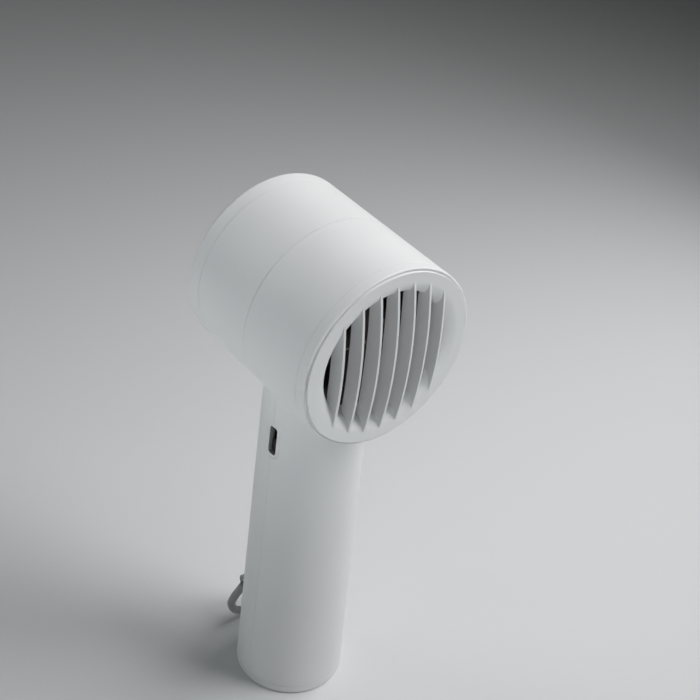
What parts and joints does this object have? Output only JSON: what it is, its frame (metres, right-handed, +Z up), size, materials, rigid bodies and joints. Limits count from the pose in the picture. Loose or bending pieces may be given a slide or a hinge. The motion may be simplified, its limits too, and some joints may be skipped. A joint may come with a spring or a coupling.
{
  "type": "hair dryer",
  "caption": "Hand-held hair dryer: short round barrel with a vaned outlet across a plain round handle with switches, an intake cover and a hanging loop.",
  "frame": {"origin": "middle of the handle's flat base face", "axes": "+Z up along the handle, -Y the way the air leaves the barrel, +Y the intake side, X across"},
  "size_m": [0.075, 0.08, 0.2275],
  "materials": {
    "white_plastic": "fine matte moulded white",
    "dark_plastic": "dark grey heat-proof plastic",
    "grey_plastic": "mid grey satin",
    "black_plastic": "black moulded",
    "soft_rubber": "light grey matte rubber",
    "steel": "plain zinc plated",
    "mica": "mica sheet, stood in by ceramic",
    "resistance_wire": "oxidised resistance wire",
    "filter_mesh": "fine woven mesh",
    "board": "green circuit board",
    "yellow_plastic": "yellow capacitor case"
  },
  "bodies": {
    "housing": {"outlet_grille": "white_plastic", "front_band": "white_plastic", "front_barrel_shell": "white_plastic", "rear_barrel_shell": "white_plastic", "fan_housing": "dark_plastic", "motor_can": "steel", "motor_end_cap": "black_plastic", "mica_plate_level": "mica", "mica_plate_upright": "mica", "heating_coil_front": "resistance_wire", "heating_coil_rear": "resistance_wire", "mica_sleeve": "mica", "thermostat": "grey_plastic", "thermal_fuse": "steel", "handle_front_shell": "white_plastic", "handle_rear_shell": "white_plastic", "selector_bezel": "white_plastic", "selector_switch": "black_plastic", "power_switch": "black_plastic", "cool_shot_switch": "black_plastic", "control_board": "board", "suppression_capacitor": "yellow_plastic", "base_cap": "white_plastic", "base_screw_left": "steel", "base_screw_right": "steel", "cord_gland": "soft_rubber", "loop_pin": "steel"},
    "fan": {"motor_shaft": "steel", "fan_impeller": "grey_plastic"},
    "cover": {"intake_cover": "white_plastic", "intake_filter": "filter_mesh"},
    "selector": {"selector_slide": "dark_plastic"},
    "power": {"power_slide": "grey_plastic"},
    "cool_shot": {"cool_shot_button": "grey_plastic"},
    "loop": {"hanging_loop": "soft_rubber"}
  },
  "joints": [
    {"name": "fan_spin", "type": "hinge", "parent": "housing", "child": "fan", "pos_m": [0, 0, 0.19], "axis": [0, 1, 0], "continuous": true},
    {"name": "cover_pull", "type": "slide", "parent": "housing", "child": "cover", "axis": [0, 1, 0], "range_m": [0, 0.025]},
    {"name": "selector_travel", "type": "slide", "parent": "housing", "child": "selector", "axis": [0, 0, 1], "range_m": [0, 0.006]},
    {"name": "power_travel", "type": "slide", "parent": "housing", "child": "power", "axis": [0, 0, 1], "range_m": [0, 0.006]},
    {"name": "cool_shot_press", "type": "slide", "parent": "housing", "child": "cool_shot", "axis": [0, -1, 0], "range_m": [0, 0.0015], "stiffness_N_per_m": 300, "springref_m": -0.001},
    {"name": "loop_swing", "type": "hinge", "parent": "housing", "child": "loop", "pos_m": [0, 0.0305, 0.022], "axis": [1, 0, 0], "range_deg": [0, 180]}
  ]
}
